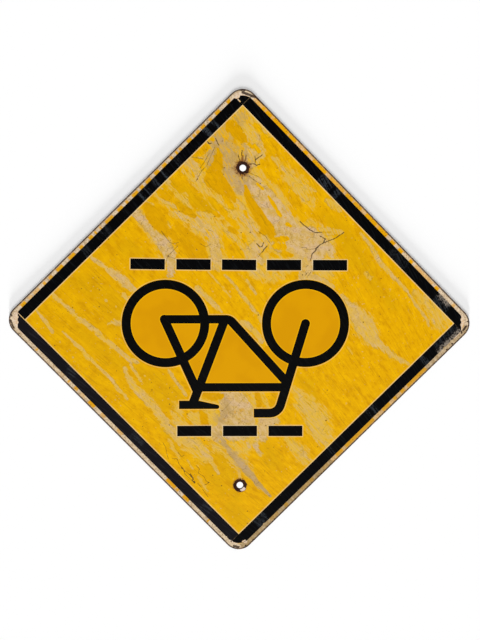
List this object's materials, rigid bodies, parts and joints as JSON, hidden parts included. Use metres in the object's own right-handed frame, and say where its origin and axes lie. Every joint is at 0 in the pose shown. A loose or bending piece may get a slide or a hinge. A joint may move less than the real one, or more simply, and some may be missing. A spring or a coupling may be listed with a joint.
{
  "type": "bicycle lane sign",
  "caption": "Diamond-shaped sheet-steel road sign with worn yellow sheeting, a black tape border and dashes, and an upside-down black bicycle.",
  "frame": {"origin": "centre of the square sheet, on its back face, where it rests", "axes": "+Z out of the printed face; +Y to the corner that is uppermost in the picture, with the bicycle upside down as the picture shows it; +X to its right-hand corner"},
  "size_m": [0.8382, 0.8382, 0.0022],
  "materials": {
    "steel_sheet": "weathered grey-brown steel, rusted at the edges and holes",
    "yellow_sheeting": "weathered yellow reflective sheeting, worn through to tan in streaks",
    "clean_film": "clean orange-yellow film with a fine mesh",
    "black_print": "satin black print",
    "black_tape": "satin black tape, rubbed grey in places"
  },
  "bodies": {
    "root": {"sheet_blank": "steel_sheet", "yellow_sheeting": "yellow_sheeting", "symbol_film": "clean_film", "bicycle_print": "black_print", "border_upper_left": "black_tape", "border_upper_right": "black_tape", "border_lower_right": "black_tape", "border_lower_left": "black_tape", "dash_upper_1": "black_tape", "dash_upper_2": "black_tape", "dash_upper_3": "black_tape", "dash_upper_4": "black_tape", "dash_upper_5": "black_tape", "dash_lower_1": "black_tape", "dash_lower_2": "black_tape", "dash_lower_3": "black_tape"}
  },
  "joints": []
}
